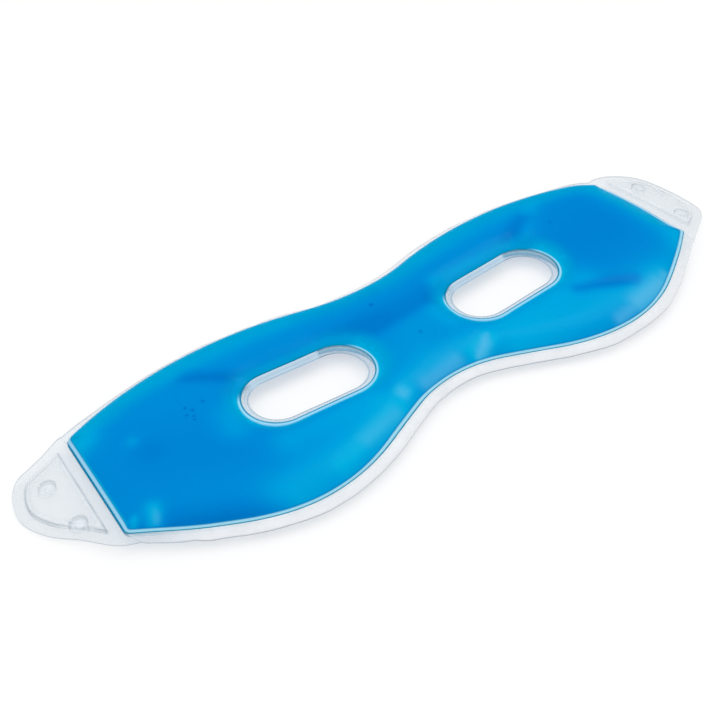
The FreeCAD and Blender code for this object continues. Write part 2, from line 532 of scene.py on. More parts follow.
def add(tree, kind, **values):
    """A node with its inputs set by name, or by number as i0. A socket as a value is linked."""
    node = tree.nodes.new(kind)
    for label, value in values.items():
        numbered = label[0] == "i" and label[1:].isdigit()
        socket = node.inputs[int(label[1:]) if numbered else label.replace("_", " ")]
        if isinstance(value, bpy.types.NodeSocket):
            tree.links.new(value, socket)
        else:
            socket.default_value = value
    return node


def math_node(tree, operation, first, second):
    node = add(tree, "ShaderNodeMath", i0=first, i1=second)
    node.operation = operation
    return node.outputs[0]


def attribute(tree, label):
    node = tree.nodes.new("ShaderNodeAttribute")
    node.attribute_name = label
    return node.outputs["Fac"]


def ramp(tree, factor, stops):
    node = tree.nodes.new("ShaderNodeValToRGB")
    tree.links.new(factor, node.inputs[0])
    elements = node.color_ramp.elements
    while len(elements) < len(stops):
        elements.new(0.5)
    for element, (place, colour) in zip(elements, stops):
        element.position = place
        element.color = (*colour, 1)
    return node.outputs["Color"]


def blend_colours(tree, factor, first, second):
    node = tree.nodes.new("ShaderNodeMix")
    node.data_type = "RGBA"
    tree.links.new(factor, node.inputs[0])
    tree.links.new(first, node.inputs[6])
    tree.links.new(second, node.inputs[7])
    return node.outputs[2]


def noise_value(tree, scale, detail=2.0):
    coordinates = tree.nodes.new("ShaderNodeTexCoord").outputs["Object"]
    node = add(tree, "ShaderNodeTexNoise", Vector=coordinates, Scale=scale, Detail=detail)
    return node.outputs["Fac"]


def one_colour(tree, colour):
    node = add(tree, "ShaderNodeRGB")
    node.outputs[0].default_value = (*colour, 1)
    return node.outputs[0]


# Clear film: gloss at low angles, how much cuts, folds with their painted shade, and painted
# highlights show, and where a mark is darkest
GLOSS_POWER = 5.0
LEAST_GLOSS = 0.035
CUT_SHOWS = 0.27
FOLD_AND_SHADE_SHOW = 0.55
GLARE_SHOWS = 0.6
FULL_MARK = 0.40

# The film's ripples and clouds, as noise scales per metre, and the ripples' height in metres
RIPPLE_SCALE = 260.0
RIPPLE_HEIGHT = 0.0006
CLOUD_SCALE = 90.0

# Colours of the film: what it lets through, its milky parts, its usual painted highlight, and the
# grey of its lines and painted shade
FILM_PASSES = (0.955, 0.965, 0.972)
MILKY = (0.97, 0.98, 1.0)
PAINTED_GLARE_TINT = (0.86, 0.92, 0.96)
LINE_AND_SHADE_GREY = (0.24, 0.31, 0.38)


def clear_film(name, haze, sheen, roughness, metallic, ripple, tint, glint=PAINTED_GLARE_TINT, milk=0.0,
               line=LINE_AND_SHADE_GREY):
    """Clear soft PVC: see-through, glossy at low angles, a bit hazy, with grey folds and cuts,
    painted grey shade beside some of them, and painted pale highlights.
    """
    material, tree = tree_of(name)
    ripples = noise_value(tree, RIPPLE_SCALE)
    relief = add(tree, "ShaderNodeBump", Strength=ripple, Distance=RIPPLE_HEIGHT, Height=ripples)
    layer = add(tree, "ShaderNodeLayerWeight", Blend=0.5, Normal=relief.outputs[0])
    mirror = math_node(tree, "POWER", layer.outputs["Facing"], GLOSS_POWER)
    mirror = math_node(tree, "ADD", math_node(tree, "MULTIPLY", mirror, sheen), LEAST_GLOSS)
    milky = math_node(tree, "MULTIPLY", attribute(tree, "milk"), milk)
    cloud = math_node(tree, "ADD", noise_value(tree, CLOUD_SCALE, 3.0), 0.5)
    cloud = math_node(tree, "MULTIPLY", cloud, math_node(tree, "ADD", milky, haze))
    cut = math_node(tree, "MULTIPLY", attribute(tree, "cut"), CUT_SHOWS)
    # Grey marks: folds, and painted shade beside some cuts and welds
    fold_and_shade = math_node(tree, "MULTIPLY", attribute(tree, "fold_and_shade"), FOLD_AND_SHADE_SHOW)
    marks = math_node(tree, "ADD", cut, fold_and_shade)
    # Painted highlights and glints, which make the film paler and less clear
    painted_glare = math_node(tree, "MULTIPLY", attribute(tree, "painted_glare"), GLARE_SHOWS)
    seen = math_node(tree, "ADD", mirror, cloud)
    seen = math_node(tree, "ADD", seen, math_node(tree, "ADD", marks, painted_glare))
    seen = math_node(tree, "MULTIPLY", seen, attribute(tree, "outer"))
    lifted = ramp(tree, attribute(tree, "milk"), [(0.0, tint), (1.0, MILKY)])
    grey = ramp(tree, marks, [(0.0, (0, 0, 0)), (FULL_MARK, (1, 1, 1))])
    dull = blend_colours(tree, grey, lifted, one_colour(tree, line))
    colour = blend_colours(tree, attribute(tree, "painted_glare"), dull, one_colour(tree, glint))
    body = add(
        tree, "ShaderNodeBsdfPrincipled", Base_Color=colour, Roughness=roughness, Metallic=metallic,
        Normal=relief.outputs[0])
    clear = add(tree, "ShaderNodeBsdfTransparent", Color=(*FILM_PASSES, 1))
    mix = add(tree, "ShaderNodeMixShader", i0=seen, i1=clear.outputs[0], i2=body.outputs[0])
    add(tree, "ShaderNodeOutputMaterial", Surface=mix.outputs[0])
    return material


# Gel: reach of its rim colours from a weld, strength and scale of its clouds, colour of its painted
# sheen
RIM_SPAN = 2.0
GEL_CLOUD = 0.12
GEL_CLOUD_SCALE = 30.0
PAINTED_SHEEN_BLUE = (0.12, 0.52, 0.82)


def blue_gel(name):
    """Translucent blue gel: deep where thick, cyan where thin, with a dark line at a weld and a
    pale line in the wedge beside it that is partly the thin gel's colour and partly a painted
    highlight, and painted shade beside the far side of each eye opening.
    """
    material, tree = tree_of(name)
    rim = math_node(tree, "DIVIDE", attribute(tree, "rim"), RIM_SPAN)
    # Beside a weld: a dark line, then a pale line that is partly a painted highlight, then cyan
    plain = ramp(tree, rim, [
        (0.0, (0.0, 0.25, 0.46)), (0.25, (0.0, 0.28, 0.50)), (0.33, (0.42, 0.72, 0.92)),
        (0.56, (0.34, 0.69, 0.90)), (0.70, (0.0, 0.32, 0.60)), (0.82, (0.0, 0.38, 0.66)),
        (1.0, (0.0, 0.39, 0.66)),
    ])
    # Near edge: the same with a brighter painted highlight
    near = ramp(tree, rim, [
        (0.0, (0.0, 0.34, 0.55)), (0.19, (0.02, 0.39, 0.60)), (0.26, (0.42, 0.80, 0.95)),
        (0.47, (0.44, 0.82, 0.97)), (0.62, (0.0, 0.25, 0.55)), (1.0, (0.0, 0.20, 0.54)),
    ])
    eye = ramp(tree, rim, [
        (0.0, (0.0, 0.28, 0.47)), (0.20, (0.01, 0.31, 0.51)), (0.27, (0.36, 0.72, 0.92)),
        (0.44, (0.34, 0.70, 0.90)), (0.60, (0.0, 0.43, 0.68)), (1.0, (0.0, 0.38, 0.68)),
    ])
    # Far side of an eye opening: painted shade, dark teal with no pale line
    eye_far_shade = ramp(tree, rim, [
        (0.0, (0.04, 0.36, 0.58)), (0.16, (0.0, 0.22, 0.42)), (0.4, (0.0, 0.32, 0.58)),
        (1.0, (0.0, 0.31, 0.64)),
    ])
    edge = blend_colours(tree, attribute(tree, "near"), plain, near)
    edge = blend_colours(tree, attribute(tree, "eye"), edge, eye)
    edge = blend_colours(tree, attribute(tree, "eye_far_shade"), edge, eye_far_shade)
    cloud = math_node(tree, "SUBTRACT", noise_value(tree, GEL_CLOUD_SCALE), 0.5)
    cloud = math_node(tree, "MULTIPLY", cloud, GEL_CLOUD)
    pale = math_node(tree, "ADD", attribute(tree, "pale"), cloud)
    body = ramp(tree, pale, [
        (0.0, (0.0, 0.17, 0.55)), (0.35, (0.0, 0.25, 0.66)), (0.7, (0.0, 0.36, 0.72)),
        (1.0, (0.0, 0.45, 0.75)),
    ])
    # Painted sheen: a painted reflection in sky blue
    body = blend_colours(tree, attribute(tree, "painted_sheen"), body, one_colour(tree, PAINTED_SHEEN_BLUE))
    colour = blend_colours(tree, attribute(tree, "inner"), edge, body)
    shader = add(
        tree, "ShaderNodeBsdfPrincipled", Base_Color=colour, Roughness=0.6, Specular_IOR_Level=0.0)
    add(tree, "ShaderNodeOutputMaterial", Surface=shader.outputs[0])
    return material


FILM_OVER_GEL = clear_film(
    "film_over_gel", haze=0.0, sheen=0.35, roughness=0.24, metallic=1.0, ripple=0.15,
    tint=(0.35, 0.72, 0.95))
EYE_RIM = clear_film(
    "fused_eye_rim", haze=0.18, sheen=0.9, roughness=0.22, metallic=0.05, ripple=0.35,
    tint=(0.66, 0.81, 0.93), glint=(0.60, 0.77, 0.90), line=(0.13, 0.31, 0.45))
WELDED = clear_film(
    "welded_film", haze=0.16, sheen=0.75, roughness=0.22, metallic=0.1, ripple=0.13,
    tint=(0.80, 0.85, 0.90), milk=0.32)
GEL = blue_gel("blue_gel")


# ---- shape of the filled pouch

# Shallow dents in the front (below zero, ridges): stroke from one point to another, width, depth
DENTS = [
    ((-62, 24), (-47, 12), 1.8, 0.40), ((-57, 24), (-44, 14), 2.2, -0.15),
    ((-22, 9), (14, 8), 3.5, 0.35), ((49, 14), (64, 22), 1.8, 0.40),
    ((52, 11), (68, 22), 2.0, -0.20), ((49, -14), (64, -23), 1.8, 0.40),
    ((7, -18), (14, -13), 2.0, 0.45), ((-19, -18), (-17, -16), 2.0, 0.35),
    ((-98, -14), (-90, -15), 2.0, 0.30), ((-84, 9), (-83, 9), 2.0, 0.15),
    ((20, 14.5), (46, 14.5), 2.0, 0.20),
]


class Pouch:
    """Heights of the two films over a region, from how far each point is from the welds.

    Far and near are 1 along the forehead and the cheek edge, and endward is 1 at the end seams.
    The arcs are the way from the nearest weld up the front film and down the back film."""

    def __init__(self, region, outer, eyes):
        points = region.points
        self.from_edge = distance_to(outer, points)
        self.from_eye = np.minimum(*[distance_to(eye, points) for eye in eyes])
        self.inward = np.minimum(self.from_edge, self.from_eye)
        facing = nearest_direction(outer, points)
        self.far = region.smooth(eased((facing - 0.2) / 0.5), 6)
        self.near = region.smooth(eased((-facing - 0.3) / 0.4), 6)
        self.endward = (1 - self.far) * (1 - self.near)
        share = eased(self.from_edge / np.maximum(self.from_edge + self.from_eye, 1e-6))
        self.weld = EDGE_WELD_Z + (EYE_WELD_Z - EDGE_WELD_Z) * share
        breadth = region.smooth(self.inward, 60)
        crown = CROWN_Z - CROWN_DROP * (1 - eased(breadth / CROWN_BREADTH))
        for wave in CROWN_WAVES:
            crown = crown + waves(points, *wave)
        crown = region.smooth(crown, 10)
        for start, end, width, depth in DENTS:
            crown = crown - depth * bump(points, start, end, width)
        power = NEAR_POWER + (FAR_POWER - NEAR_POWER) * self.far
        reach = TOP_REACH + (END_REACH - TOP_REACH) * self.endward
        rise = profile(self.from_edge, reach, power) * profile(self.from_eye, EYE_REACH, EYE_POWER)
        fall = profile(self.inward, BACK_REACH, BACK_POWER)
        self.top = self.weld + (crown - self.weld) * rise
        self.back = self.weld + (BACK_Z - self.weld) * fall
        self.top_arc = np.hypot(self.inward, self.top - self.weld)
        self.back_arc = np.hypot(self.inward, self.back - self.weld)


# Where the gel is paler (below zero, deeper) than its ground, partly tone where it is dented or
# thin and partly painted reflections and painted glints: stroke from one point to another, width,
# amount
TONE_AND_GLINT_STROKES = [
    ((-97, 18), (-92, 19), 4, 0.5), ((-60, -2), (-58, 2), 5, 0.30),
    ((-52, -14), (-26, -14), 5, 0.28), ((-62, -29), (-22, -22), 7, 0.40),
    ((-18, -17), (-17.5, -17), 2.2, 0.45), ((-14, -15), (6, -14), 5, 0.36),
    ((-14, -4), (-13, 3), 4, 0.14), ((9, -17), (14, -15), 2.4, 0.5),
    ((11, -3), (11, 4), 4, 0.26), ((20, 12.5), (45, 12.8), 3, 0.42),
    ((14, -14), (52, -13), 6, 0.32), ((22, -22), (72, -26), 7, 0.38),
    ((52, 11), (68, 24), 3, 0.18), ((94, -12), (92, 16), 7, 0.42),
    ((-75, 27), (-20, 25), 4, 0.2), ((22, 25), (80, 24), 4, 0.14),
    ((-97.0, -13.6), (-95.6, -11.8), 1.3, 0.5), ((-92, -15), (-90.5, -12.5), 2.2, 0.6),
    ((-83.5, 9), (-83, 9.4), 1.6, 0.25), ((-60, 22), (-48, 13), 2.4, -0.30),
    ((-21, 10), (13, 9), 4.5, -0.26), ((-9, 5.5), (13, 7), 2.2, -0.14),
    ((50, 15), (60, 20), 2.6, -0.26), ((49, -15), (65, -22), 2.6, -0.42),
    ((-98, -15), (-66, -31), 3.6, -0.30), ((-46, -28.5), (-22, -20), 3, 0.25),
    ((60, -29), (90, -17), 4, 0.20), ((-80, 0), (-66, -4), 14, -0.10),
    ((-82, 3.5), (-81, 3.5), 4, -0.10), ((66, 2), (82, 4), 16, -0.14),
    ((-4, -6), (4, 4), 8, 0.14), ((-22, 24), (2, 21), 2.5, -0.20),
]
PALE_GROUND = 0.40

# Painted sky-blue sheen on the shoulders, a painted reflection: stroke from one point to another,
# width, strength
PAINTED_SHEEN_STROKES = [
    ((50, -30.4), (60, -29), 1.7, 0.45), ((59, -28.8), (71, -26.6), 2.7, 0.7),
    ((70, -26.5), (75, -24.6), 1.6, 0.5), ((-36, -25), (-24, -22), 1.9, 0.22),
    ((-10, -17.5), (2, -15.8), 2.0, 0.4), ((8.5, -17.8), (14.5, -13.8), 0.8, 0.7),
    ((10, -17.2), (12.5, -15.8), 1.5, 0.6), ((-18, -17.3), (-17.3, -16.8), 1.4, 0.5),
    ((-91.2, -15), (-90.6, -13.6), 0.8, 0.25),
]

# Air bubbles just under the front film: place and radius
BUBBLES = [
    ((-66.5, 11.4), 0.45), ((-65.3, 9.6), 0.5), ((-67.6, 8.8), 0.4), ((-66.2, 7.6), 0.4),
    ((-66.8, 6.3), 0.35), ((-61.4, 11.0), 0.45), ((-2.6, 15.2), 0.7), ((0.6, -2.4), 0.55),
    ((64.5, 12.8), 0.4),
]

# Rows of mesh points beside a weld: closest where the film is steep
EDGE_ROWS = [0.04, 0.12, 0.25, 0.42, 0.65, 0.95, 1.35, 1.85, 2.5, 3.3, 4.3]

# Rim colours of the gel: where they end, and over how far they fade into the gel's own colour
NEAR_RIM = 1.1
OTHER_RIM = 1.5
BACK_RIM = 1.15
NEAR_FADE = 0.5
OTHER_FADE = 4.2
FAR_EXTRA_FADE = 4.5
END_EXTRA_FADE = 3.0
EYE_FADE = 2.4
BACK_FADE = 4.0

# Pace of the rim colours: 1 over RIM_SPAN, and less where the pale line, partly a painted
# highlight, is wider
END_ZONE = 80
RIGHT_END_SLOWS = 0.6
LEFT_END_SLOWS = 0.22
FAR_EDGE_SLOWS = 0.4
RIGHT_CHEEK_SLOWS = 0.38
EYE_BEYOND_SPEEDS = 0.7
EYE_BEFORE_SLOWS = 0.68

# Where the camera looks, in the table's plane
LOOKING = (0.62, 0.79)


def tone_and_painted_glints(points):
    value = np.full(len(points), PALE_GROUND)
    for start, end, width, amount in TONE_AND_GLINT_STROKES:
        value += amount * bump(points, start, end, width)
    return value


def painted_sheen_amount(points):
    value = np.zeros(len(points))
    for start, end, width, amount in PAINTED_SHEEN_STROKES:
        value = np.maximum(value, amount * bump(points, start, end, width))
    return value


def bubble_rings():
    """Points round each bubble, to make the mesh fine there."""
    rings = []
    for centre, radius in BUBBLES:
        rings.append(np.array([centre]))
        for share in (0.5, 1.0, 1.5, 2.2):
            turns = np.arange(10) * 36.0 + 90 * share
            rings.append(on_circle(centre, radius * share, turns))
    return np.concatenate(rings)


def bubbliness(points):
    value = np.zeros(len(points))
    for centre, radius in BUBBLES:
        value = np.maximum(value, np.exp(-(gap_to(centre, points) / radius) ** 4))
    return value


def eye_direction(region, eyes, axis):
    """One part of the outward normal of the eye opening on each point's own side, evened out."""
    left, right = [nearest_direction(eye, region.points, axis) for eye in eyes]
    return region.smooth(np.where(region.points[:, 0] > 0, right, left), 3)


def rim_pace(region, pouch, outer, beyond):
    """Pace of the rim colours, by the edge and by an eye. Beyond is 1 on an opening's far side."""
    x = region.points[:, 0]
    to_right = pouch.endward * (x > END_ZONE)
    to_left = pouch.endward * (x < -END_ZONE)
    far_left = pouch.far * eased((-x - 74) / 8)
    far_edge = np.maximum(far_left, 0.7 * pouch.far)
    rightward = region.smooth(eased(nearest_direction(outer, region.points, 0) / 0.5 - 0.2), 3)
    by_edge = (1.0 - RIGHT_END_SLOWS * to_right - FAR_EDGE_SLOWS * far_edge
               - LEFT_END_SLOWS * to_left - RIGHT_CHEEK_SLOWS * pouch.near * rightward)
    by_eye = (1.0 + EYE_BEYOND_SPEEDS * np.maximum(beyond, 0)
              - EYE_BEFORE_SLOWS * np.maximum(-beyond, 0))
    return by_edge, by_eye


def rim_fade(region, pouch):
    """Millimetres over which the rim colours fade into the gel's own, by the edge and by an eye."""
    x = region.points[:, 0]
    left = eased((-x - END_ZONE) / 10)
    other = (OTHER_FADE + FAR_EXTRA_FADE * pouch.far) * (1 - pouch.near)
    other = other * (1 - left * (1 - pouch.far))
    by_edge = NEAR_FADE + other + END_EXTRA_FADE * (pouch.endward * (x > END_ZONE))
    eye_end = eased(np.abs(np.abs(x) - EYE_CENTRE[0]) / 16 - 0.2)
    return by_edge, EYE_FADE + END_EXTRA_FADE * eye_end


def build_gel(outer, eyes):
    gel_outer = outer - GEL_INSET * outward(outer)
    gel_eyes = [eye + GEL_INSET * outward(eye) for eye in eyes]
    region = Region(gel_outer, gel_eyes, EDGE_ROWS, POUCH_SPACING, bubble_rings())
    pouch = Pouch(region, gel_outer, gel_eyes)
    dimple = bubbliness(region.points)
    top = pouch.weld + (pouch.top - pouch.weld - GEL_GAP) * GEL_FILL - BUBBLE_DEPTH * dimple
    back = pouch.weld + (pouch.back - pouch.weld + GEL_GAP) * GEL_FILL
    rim = np.unique(region.rims)
    top[rim] = back[rim] = pouch.weld[rim]

    by_edge = pouch.from_edge < pouch.from_eye
    near = np.where(by_edge, pouch.near, 0)
    eye = np.where(by_edge, 0.0, 1.0)
    eye_across, eye_up = [eye_direction(region, gel_eyes, axis) for axis in (0, 1)]
    # Painted shade beside the far side of each eye opening
    eye_far_shade = eye * eased((eye_up - 0.35) / 0.35)
    beyond = LOOKING[0] * eye_across + LOOKING[1] * eye_up
    edge_pace, eye_pace = rim_pace(region, pouch, gel_outer, beyond)
    edge_fade, eye_fade = rim_fade(region, pouch)
    start = np.where(near > 0.5, NEAR_RIM, OTHER_RIM) / np.where(by_edge, edge_pace, 1.0)
    inner = eased((pouch.top_arc - start) / np.where(by_edge, edge_fade, eye_fade))
    under = eased((pouch.back_arc - BACK_RIM) / BACK_FADE)
    # Paler and deeper gel, partly painted reflections and glints
    pale = tone_and_painted_glints(region.points)
    nothing = np.zeros(len(region.points))
    gel = closed_between("gel_body", region, top, back, GEL, {
        "rim": (pouch.top_arc * np.where(by_edge, edge_pace, eye_pace), pouch.back_arc),
        "pale": (pale - 0.35 * dimple, pale),
        "eye": (eye, eye),
        "eye_far_shade": (eye_far_shade, nothing),
        "near": (near, near),
        "inner": (inner, under),
        "painted_sheen": (painted_sheen_amount(region.points), nothing),
    })
    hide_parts("left_gel", "right_gel")
    return gel


def build_films(outer, eyes):
    region = Region(outer, eyes, EDGE_ROWS, POUCH_SPACING)
    pouch = Pouch(region, outer, eyes)
    every_wall = np.full(len(region.rims), True)
    front = slab("front_film", region, pouch.top, pouch.top - FRONT_FILM, FILM_OVER_GEL, {},
                 every_wall, seen=(1, 0))
    back = slab("back_film", region, pouch.back, pouch.back - BACK_FILM, FILM_OVER_GEL, {},
                every_wall, seen=(0, 1))
    for piece, label in ((front, "front_film"), (back, "back_film")):
        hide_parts("left_" + label, "right_" + label)
    return front, back


# ---- welded edges

# Where the flange is trimmed wider or narrower: place, reach along the edge, and change
TRIM = [
    ((-66, 30), 26, -1.5), ((-31, 30), 2.4, -1.6), ((30, 29), 20, -0.6), ((75, 31), 3.0, 0.5),
    ((66, 32), 2.5, -0.5), ((-86, -23), 1.8, -0.5), ((-83, -25), 2.0, 0.4), ((45, -34), 5.0, 0.4),
]

# Lines, painted shade and painted highlights in the film: distance from their edge, width, strength
SEAM_LIGHT = (0.0, 0.55, 0.55)
CUT_LINE = (0.12, 0.14, 0.6)
RING_SHADE = (0.78, 0.12, 0.45)
POCKET_LINE = (0.15, 0.2, 0.9)
POCKET_SHADE = (1.2, 0.16, 0.6)
POCKET_LIGHT = (0.75, 0.22, 0.7)
SPOT_LINE = (SPOT_RADIUS, 0.2, 1.0)

# How far from the pocket's straight weld its marks still follow it
STRAIGHT_REACH = 2.4

# Rows of mesh points in the flange and in the eye rings
FLANGE_ROWS = [0.25, 0.6]
RING_ROWS = [0.12, 0.3, 0.55, 0.78]

SIDE_NAME = {-1: "left", 1: "right"}


def flange_outline(outer):
    """Outer cut edge of the flange, with an uneven trim."""
    width = FLANGE_WIDTH + waves(outer, 0.2, 17.0, 1.7) + waves(outer, 0.1, 5.0, 9.2)
    for place, reach, change in TRIM:
        width += change * hill(gap_to(place, outer), reach)
    return outer + np.maximum(width, LEAST_FLANGE)[:, None] * outward(outer)


def end_line():
    """Upper corner of the right-hand end seam, and the unit vector out of the seam."""
    upper = joined(forehead_half())[-1]
    along = (upper - END_LOWER) / np.linalg.norm(upper - END_LOWER)
    return upper, np.array([along[1], -along[0]])


def corner_indices(outer):
    """Places in the outline of the right upper, left upper, left lower and right lower corner."""
    upper, _ = end_line()
    corners = [upper, upper * [-1, 1], END_LOWER * [-1, 1], END_LOWER]
    return [int(np.argmin(gap_to(corner, outer))) for corner in corners]


def stretch(outer, first, last):
    """Indices along the outline from one place on to another."""
    return np.arange(first, last + (len(outer) if last < first else 0) + 1) % len(outer)


def build_flanges(outer):
    """The fused band along the forehead edge and along the cheek edge, between the two tabs."""
    rim = flange_outline(outer)
    right_upper, left_upper, left_lower, right_lower = corner_indices(outer)
    pieces = []
    for label, first, last, root, droop in (
            ("forehead_weld", right_upper, left_upper, UPPER_ROOT, FAR_DROOP),
            ("cheek_weld", left_lower, right_lower, LOWER_ROOT, NEAR_DROOP)):
        picked = stretch(outer, first, last)
        side = 1 if outer[picked[0]][0] > 0 else -1
        roots = root[side] * [side, 1], root[-side] * [-side, 1]
        edge = rim[picked]
        clear = np.abs(edge[:, 0]) < root[1][0] - 0.5
        for place in roots:
            clear &= gap_to(place, edge) > 1.0
        loop = np.concatenate([roots[0][None], edge[clear], roots[1][None], outer[picked][::-1]])
        region = Region(loop, [], FLANGE_ROWS, FLANGE_SPACING)
        away = distance_to(outer, region.points)
        share = np.minimum(away / FLANGE_WIDTH, 1.1)
        to_root = np.minimum(*[gap_to(place, region.points) for place in roots])
        near_root = hill(to_root, ROOT_REACH)
        middle = EDGE_WELD_Z - droop * (1 - near_root) * share ** 2
        middle += waves(region.points, 0.2, 11.0, 5.5) * eased(share) * (1 - near_root)
        half = FLANGE_THICKNESS / 2
        covered = walls_at(region, outer, zip(roots, (outer[picked[0]], outer[picked[-1]])))
        # A painted highlight runs along the seam
        piece = slab(label, region, middle + half, middle - half, WELDED,
                     {"milk": 1 - near_root, "painted_glare": line_at(away, *SEAM_LIGHT)}, covered)
        pieces.append(piece)
    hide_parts("left_edge_weld", "right_edge_weld")
    return pieces


def build_eye_weld(side):
    """Fused ring round an eye opening, with a line along its cut edge, painted shade beside that
    line on the far side, and a painted highlight on its far side.
    """
    ring = stadium(EYE_WELD, side)
    hole = stadium(EYE_HOLE, side)
    region = Region(ring, [hole], RING_ROWS, RING_SPACING)
    points = region.points
    width = (EYE_WELD[1] - EYE_HOLE[1]) / 2
    share = distance_to(ring, points) / width
    middle = EYE_WELD_Z + (EYE_CUT_Z - EYE_WELD_Z) * eased(share) + waves(points, 0.1, 9.0, side)
    x, y = (points - EYE_CENTRE * [side, 1] - [EYE_SHIFT, 0]).T
    from_cut = width * (1 - share)
    fold_and_shade = line_at(from_cut, *CUT_LINE)
    # Painted shade along the far side of the cut edge
    fold_and_shade += line_at(from_cut, *RING_SHADE) * eased((y - 4) / 2) * eased((9 - x) / 3)
    # Painted highlight: a pale strip on the far side
    painted_glare = eased((x + 15) / 3) * eased((9.5 - x) / 1.2) * eased((y - 5) / 2) * (1 - fold_and_shade)
    name = SIDE_NAME[side]
    piece = slab(name + "_eye_ring", region, middle + RING_HALF, middle - RING_HALF, EYE_RIM,
                 {"painted_glare": painted_glare, "fold_and_shade": fold_and_shade}, walls_at(region, ring))
    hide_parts(name + "_eye_weld")
    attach(piece, name + "_lobe")
    return piece


# ---- tabs

def smooth_curve(corners):
    """Catmull-Rom curve through the corners."""
    corners = np.asarray(corners, float)
    before, after = 2 * corners[0] - corners[1], 2 * corners[-1] - corners[-2]
    padded = np.concatenate([[before], corners, [after]])
    points = []
    for a, b, c, d in zip(padded, padded[1:], padded[2:], padded[3:]):
        count = max(2, math.ceil(np.linalg.norm(c - b) / OUTLINE_STEP))
        t = np.linspace(0, 1, count, endpoint=False)[:, None]
        points.append(0.5 * (2 * b + (c - a) * t + (2 * a - 5 * b + 4 * c - d) * t ** 2
                             + (3 * b - a - 3 * c + d) * t ** 3))
    return np.concatenate(points + [corners[-1:]])


# Cut edge of each tab from the lower root to the upper root, as if on the right-hand side
TAB_EDGE = {
    -1: [LOWER_ROOT[-1], (101.9, -14.5), (107.2, -7.0), (112.8, 0.2), (115.6, 8.6), (114.0, 16.2),
         (110.4, 20.8), (106.0, 22.1), (101.6, 23.3), UPPER_ROOT[-1]],
    1: [LOWER_ROOT[1], (104, -12.8), (110.2, -8.9), (114, -4.2), (114.7, 3.2), (113.5, 13),
        (111.2, 19.1), (107, 22.6), (101.6, 24.6), UPPER_ROOT[1]],
}


def tab_outline(outer, side):
    """Closed outline of the right-hand tab, drawn against the pouch's own end seam on this side."""
    right_upper, left_upper, left_lower, right_lower = corner_indices(outer)
    if side > 0:
        seam = outer[stretch(outer, right_lower, right_upper)][::-1]
    else:
        seam = outer[stretch(outer, left_upper, left_lower)] * [-1, 1]
    return joined([
        run(seam[-1], LOWER_ROOT[side]),
        smooth_curve(TAB_EDGE[side]),
        run(UPPER_ROOT[side], seam[0]),
        seam,
    ])[:-1]


def pocket_details(loop, upper, out, spots):
    """Points that make the mesh fine along the pocket's weld and round the fused spots."""
    rows = []
    along = np.array([-out[1], out[0]])
    for inset in (-0.4, -0.1, 0.2, 0.5, 0.9, 1.4, 2.0):
        row = loop - (POCKET_INSET + inset) * outward(loop)
        row = row[(row - upper) @ out > POCKET_OFFSET + inset]
        rows.append(row[distance_to(loop, row) > (POCKET_INSET + inset) * 0.97])
        line = upper + out * (POCKET_OFFSET + inset) + np.arange(-60, 8, 0.7)[:, None] * along
        line = line[inside(loop, line)]
        rows.append(line[distance_to(loop, line) > POCKET_INSET + inset])
    for spot in spots:
        for radius in (0.8, 1.5, 1.9, 2.2, 2.6, 3.2):
            rows.append(on_circle(spot, radius, np.arange(0, 360, 40 / radius)))
    return np.concatenate(rows)


# Soft wrinkles in each tab's pocket: stroke from one point to another, width, height
TAB_WRINKLES = {
    -1: [
        ((102, -6), (106, -3.4), 0.6, 0.45),
        ((103.4, -8), (107, -5.5), 0.5, 0.3),
        ((100.8, 15), (104, 17), 0.7, 0.2),
        ((108, 2), (110, 9), 1.2, 0.25),
    ],
    1: [
        ((101.5, 19), (107, 15.5), 0.8, 0.4),
        ((103, 10), (109, 12), 0.8, 0.3),
        ((104.5, -6.5), (109.5, -4.5), 0.6, 0.45),
        ((109, 4), (111, 8), 1.0, 0.3),
        ((103, 3), (108, 5), 0.8, 0.3),
    ],
}


def tab_heights(side, points, flex, within):
    """Upper and lower face of a tab. Within is how far a point is inside the pocket."""
    from_spot = np.min([gap_to(spot, points) for spot in SPOTS[side]], axis=0)
    puff = profile(np.maximum(within, 0), PUFF_REACH, PUFF_POWER)
    puff = puff * eased((from_spot - SPOT_RADIUS * 0.8) / 1.4)
    wrinkle = np.zeros(len(points))
    for start, end, width, height in TAB_WRINKLES[side]:
        wrinkle += height * bump(points, start, end, width)
    sag = np.maximum(flex - FLEX_OFFSET, 0) * math.tan(math.radians(TAB_DROOP_DEG))
    middle = EDGE_WELD_Z - sag + waves(points, 0.15, 9.0, 4.0 + side) * eased((flex - 1) / 4)
    top = middle + FLANGE_THICKNESS / 2 + POCKET_RISE * puff + wrinkle * puff
    back = np.maximum(middle - FLANGE_THICKNESS / 2 - POCKET_SAG * puff, LEAST_Z)
    return top, back


